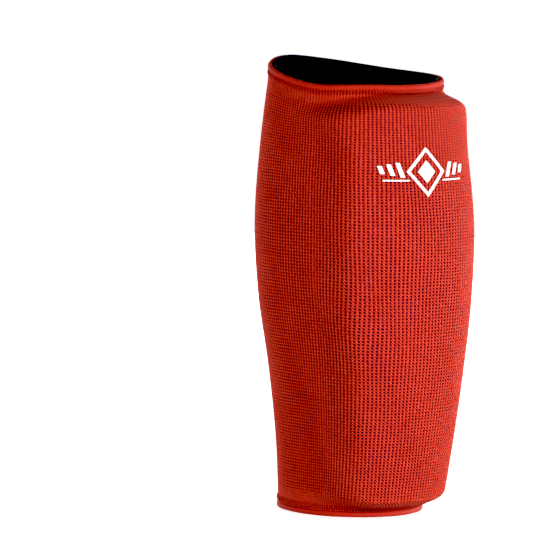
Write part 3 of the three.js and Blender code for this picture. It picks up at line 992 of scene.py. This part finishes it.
# Slanted bars get shorter away from the diamond, over a thin line.
SLANTED_LENGTHS = (9.0, 7.0, 5.0)
SLANTED_FROM = 15.5
SLANTED_PITCH = 6.4
SLANTED_WIDTH = 3.0
SLANTED_RAISE = 1.0
SLANT = 0.35
UNDERLINE = (12.5, 30.0)
UNDERLINE_LOW = -5.8
UNDERLINE_HIGH = -4.8


def ink(shapes):
    """Points, faces and lattice places of flat shapes laid on the knit. A shape is a grid of [x, y]
    places in millimetres about the emblem's middle, closed along its columns or not."""
    table = np.linspace(-40, 40, 400)
    table_angles = wale_angle(table)
    courses = np.arange(COURSES + 1)
    points, faces, uv = [], [], []
    count = 0
    for grid, closed in shapes:
        z = EMBLEM_HEIGHT + grid[..., 1]
        angle = grid[..., 0] / (arc_radius(z) + PAD_RISE / 2)
        wale = np.interp(angle, table_angles, table)
        course = np.interp(z, course_height(courses), courses)
        over_rib = INK_OVER_RIB * np.cos(TURN * wale)
        front = cover_point(angle, z, INK_HIGH + over_rib)
        back = cover_point(angle, z, INK_LOW)
        made, quads = shell(front, back, closed_columns=closed)
        faces += [[i + count for i in quad] for quad in quads]
        lattice = np.stack([wale, course], -1).reshape(-1, 2)
        uv += [lattice, lattice]
        points.append(made)
        count += len(made)
    return np.concatenate(points), faces, np.concatenate(uv)


def bar(one_side, other_side, low, high, slant):
    """A slanted bar between two x places, from low to high."""
    left, right = sorted((one_side, other_side))
    across = np.linspace(left, right, max(3, int((right - left) / BAR_STEP)))
    upright = np.linspace(low, high, max(3, int((high - low) / BAR_STEP)))
    x, y = np.meshgrid(across, upright)
    return np.stack([x + slant * (y - low), y], -1), False


def diamond(outer, inner):
    """A diamond-shaped band between two half widths."""
    turns = np.arange(DIAMOND_SIDES) * TURN / DIAMOND_SIDES
    reach = 1 / (np.abs(np.cos(turns)) + np.abs(np.sin(turns)))
    radii = np.linspace(inner, outer, max(3, int((outer - inner) / BAND_STEP)))[:, None]
    x = radii * reach * np.cos(turns)
    y = radii * reach * np.sin(turns) * DIAMOND_TALLER
    return np.stack([x, y], -1), True


def make_emblem():
    """A plain diamond between slanted bars: a generic mark, not a maker's."""
    shapes = [diamond(*DIAMOND_BAND), diamond(*DIAMOND_HEART)]
    for side in (-1, 1):
        for k, length in enumerate(SLANTED_LENGTHS):
            near = side * (SLANTED_FROM + SLANTED_PITCH * k)
            low, high = SLANTED_RAISE - length / 2, SLANTED_RAISE + length / 2
            shapes.append(bar(near, near + side * SLANTED_WIDTH, low, high, side * SLANT))
        near, far = side * UNDERLINE[0], side * UNDERLINE[1]
        shapes.append(bar(near, far, UNDERLINE_LOW, UNDERLINE_HIGH, 0))
    points, faces, uv = ink(shapes)
    emblem = body_mesh("emblem_print", points, faces, print_finish(), uv)
    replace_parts(emblem, "front_emblem")


# ---------- stage, light and camera, with distances in metres ----------
CAMERA_AZIMUTH = -39.5
CAMERA_ELEVATION = 5.9
CAMERA_ROLL = 2.13
CAMERA_DISTANCE = 2.5
CAMERA_LENS = 300.6
AIM_LEFT = 0.0493
AIM_UP = 0.0107
ROOM_RADIUS = 25.0
ROOM_TILTS = 24
ROOM_SIDES = 64
FLOOR_GLOW = 0.62
WALL_GLOW = 1.1
LAMP_DISTANCE = 1.6
LAMP_SIZE = 0.9
FILL_LEVEL = 2.75
FILL_FALL = 2.0
BLACK_LEVEL = 0.025


def side_of(azimuth, elevation):
    """The direction from the object towards a place at that azimuth and elevation, in degrees."""
    a, e = math.radians(azimuth), math.radians(elevation)
    return Vector((math.sin(a) * math.cos(e), -math.cos(a) * math.cos(e), math.sin(e)))


def aim(thing, location, target, right):
    """Put a camera or lamp at a place, looking at a target, with its own right to one side."""
    back = (location - target).normalized()
    across = (right - back * right.dot(back)).normalized()
    upright = back.cross(across)
    turn = Matrix((across, upright, back)).transposed()
    thing.matrix_world = Matrix.Translation(location) @ turn.to_4x4()


def make_camera():
    """A long lens a little above the guard, which stands right of the middle of the picture."""
    lens = bpy.data.cameras.new("camera")
    lens.lens = CAMERA_LENS
    lens.sensor_width = 36
    lens.clip_end = 60
    camera = bpy.data.objects.new("camera", lens)
    bpy.context.scene.collection.objects.link(camera)
    middle = Vector((0, station_value(CENTRE_Y, HEIGHT / 2) * MM, HEIGHT / 2 * MM))
    back = side_of(CAMERA_AZIMUTH, CAMERA_ELEVATION)
    level = Vector((0, 0, 1)).cross(back).normalized()
    upright = back.cross(level)
    roll = math.radians(CAMERA_ROLL)
    right = level * math.cos(roll) + upright * math.sin(roll)
    up = back.cross(right)
    target = middle - right * AIM_LEFT + up * AIM_UP
    aim(camera, middle + back * CAMERA_DISTANCE, target, right)
    bpy.context.scene.camera = camera


def softbox(name, azimuth, elevation, power):
    """A large square lamp that looks at the middle of the guard."""
    light = bpy.data.lights.new(name, "AREA")
    light.shape = "SQUARE"
    light.size = LAMP_SIZE
    light.energy = power
    lamp = bpy.data.objects.new(name, light)
    bpy.context.scene.collection.objects.link(lamp)
    target = Vector((0, 0, HEIGHT / 2 * MM))
    back = side_of(azimuth, elevation)
    aim(lamp, target + back * LAMP_DISTANCE, target, Vector((0, 0, 1)).cross(back))


def stage_piece(name, points, faces, material):
    """A part of the set, which is seen but throws no light on the guard."""
    mesh = bpy.data.meshes.new(name)
    mesh.from_pydata(points.tolist(), [], faces)
    mesh.materials.append(material)
    piece = bpy.data.objects.new(name, mesh)
    bpy.context.scene.collection.objects.link(piece)
    piece.visible_diffuse = False
    piece.visible_glossy = False
    return piece


def make_backdrop():
    """A pale floor in a white room. Neither lights the guard: the world and the softboxes do that."""
    turns = np.arange(ROOM_SIDES) * TURN / ROOM_SIDES
    floor = Finish("pale_floor", Roughness=0.9, Base_Color=(0.9, 0.9, 0.9, 1), Specular_IOR_Level=0.0,
                   Emission_Color=(1, 1, 1, 1), Emission_Strength=FLOOR_GLOW)
    rim = np.stack([ROOM_RADIUS * np.cos(turns), ROOM_RADIUS * np.sin(turns), 0 * turns], axis=1)
    stage_piece("floor", rim, [list(range(ROOM_SIDES))], floor.material)
    wall = Finish("white_wall", Roughness=1.0, Base_Color=(0, 0, 0, 1), Specular_IOR_Level=0.0,
                  Emission_Color=(1, 1, 1, 1), Emission_Strength=WALL_GLOW)
    tilts = np.linspace(-0.1, 0.499, ROOM_TILTS) * math.pi
    t, u = np.meshgrid(tilts, turns, indexing="ij")
    dome = ROOM_RADIUS * np.stack([np.cos(t) * np.cos(u), np.cos(t) * np.sin(u), np.sin(t)], axis=-1)
    faces = grid_faces(ROOM_TILTS, ROOM_SIDES, closed_columns=True)
    room = stage_piece("white_room", dome.reshape(-1, 3), faces, wall.material)
    room.visible_shadow = False


def make_world():
    """Soft fill from white walls all round, with little from straight above or below."""
    world = bpy.data.worlds.new("studio")
    world.use_nodes = True
    tree = world.node_tree
    background = tree.nodes["Background"]
    background.inputs["Color"].default_value = (1, 1, 1, 1)
    split = tree.nodes.new("ShaderNodeSeparateXYZ")
    tree.links.new(tree.nodes.new("ShaderNodeTexCoord").outputs["Generated"], split.inputs[0])
    level = split.outputs["Z"]
    for operation, first, second in (("ABSOLUTE", None, 0.0), ("SUBTRACT", 1.0, None),
                                     ("POWER", None, FILL_FALL), ("MULTIPLY", None, FILL_LEVEL)):
        step = tree.nodes.new("ShaderNodeMath")
        step.operation = operation
        for socket, value in zip(step.inputs, (first, second)):
            if value is None:
                tree.links.new(level, socket)
            else:
                socket.default_value = value
        level = step.outputs[0]
    tree.links.new(level, background.inputs["Strength"])
    bpy.context.scene.world = world


def set_grade():
    """Plain colours with the contrast of a catalogue picture: haze is taken out of the blacks."""
    settings = bpy.context.scene.view_settings
    settings.view_transform = "Standard"
    settings.use_curve_mapping = True
    settings.curve_mapping.black_level = (BLACK_LEVEL,) * 3
    settings.curve_mapping.update()


make_camera()
make_backdrop()
make_world()
softbox("key", 12, 0, 29)
softbox("side", 80, 0, 13)
softbox("back", 150, 10, 16)
set_grade()
make_lining()
make_pad()
make_knit()
make_hems()
make_stitching()
make_emblem()
